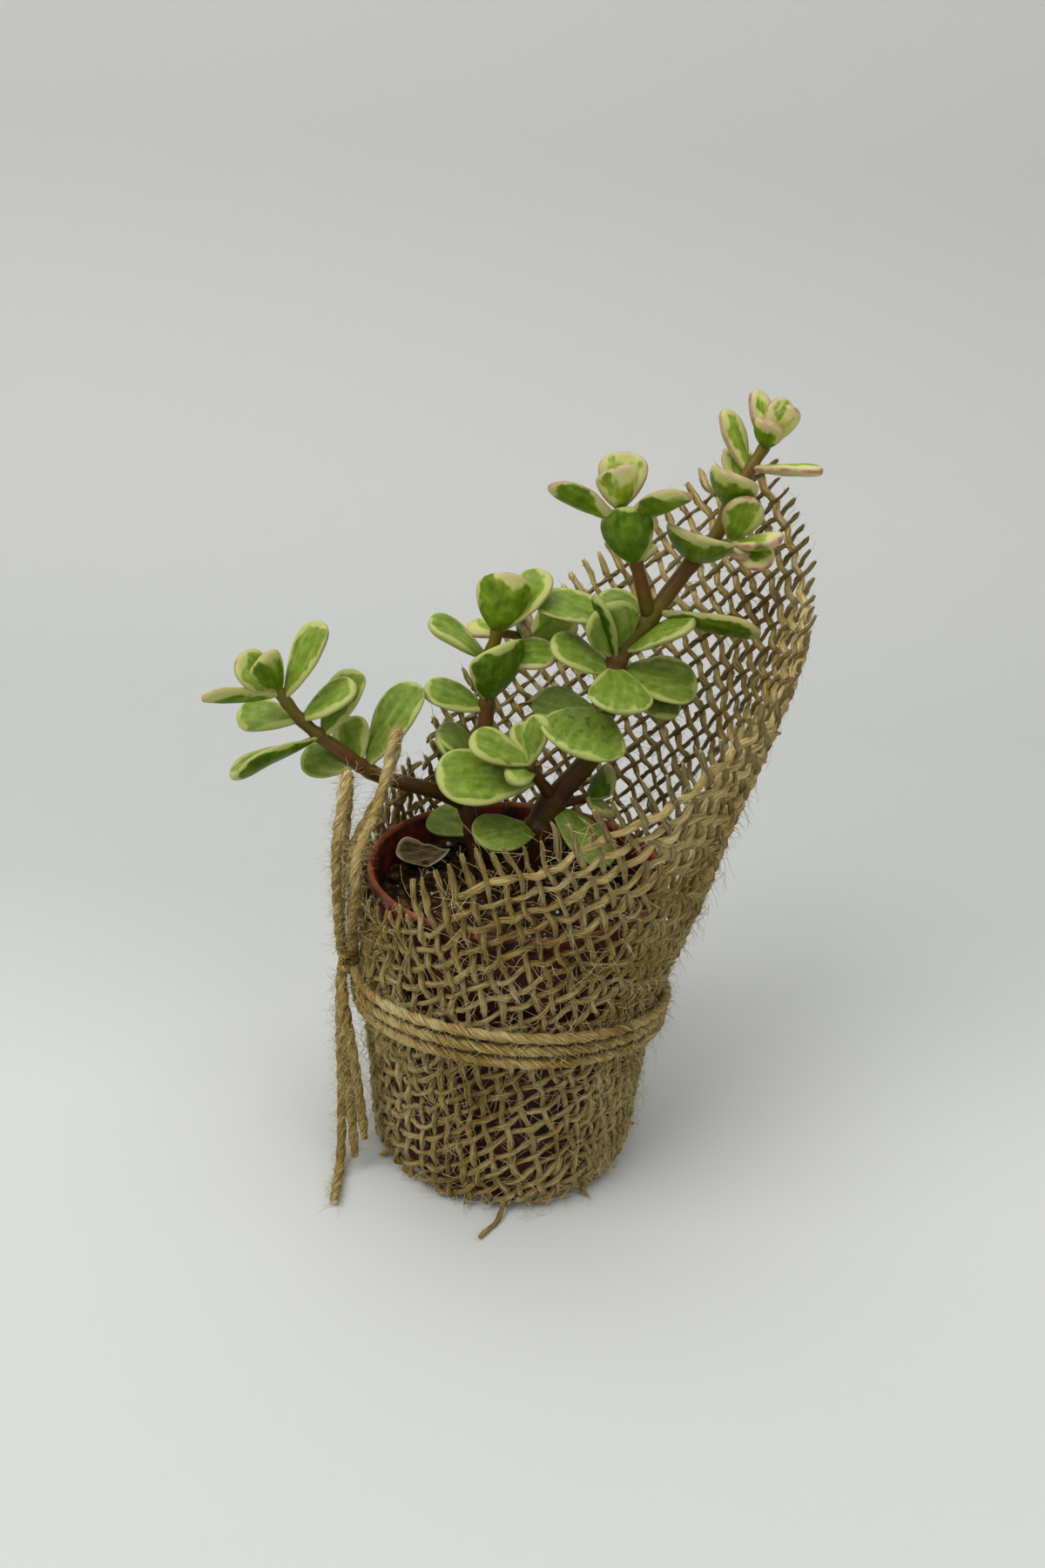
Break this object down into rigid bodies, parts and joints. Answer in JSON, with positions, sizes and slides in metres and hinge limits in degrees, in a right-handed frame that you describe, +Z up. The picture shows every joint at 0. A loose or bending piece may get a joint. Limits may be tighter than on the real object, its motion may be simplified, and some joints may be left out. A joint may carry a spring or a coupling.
{
  "type": "potted elephant bush",
  "caption": "Young variegated succulent bush with round fleshy leaves in a small nursery pot, rolled in open burlap and tied with a jute twine bow.",
  "frame": {"origin": "centre of the pot's base, on the surface it stands on", "axes": "+Z up along the pot's axis; the bow is on the -X side and the wrap's standing corner on the +X side"},
  "size_m": [0.1051, 0.0748, 0.1444],
  "materials": {
    "pot_plastic": "moulded terracotta-coloured plastic",
    "peat": "dark damp peat",
    "leaf_and_stem": "smooth fleshy leaf",
    "dry_leaf": "dry and wrinkled",
    "burlap": "open plain-weave jute",
    "jute_twine": "two-ply twisted jute, hairy"
  },
  "bodies": {
    "root": {"pot": "pot_plastic", "soil": "peat", "stem_right": "leaf_and_stem", "stem_left": "leaf_and_stem", "dry_leaf": "dry_leaf", "burlap_wrap": "burlap", "twine_turns": "jute_twine", "knot": "jute_twine", "bow_loop_outer": "jute_twine", "bow_loop_inner": "jute_twine", "bow_tail_long": "jute_twine", "bow_tail_middle": "jute_twine", "bow_tail_short": "jute_twine"}
  },
  "joints": []
}
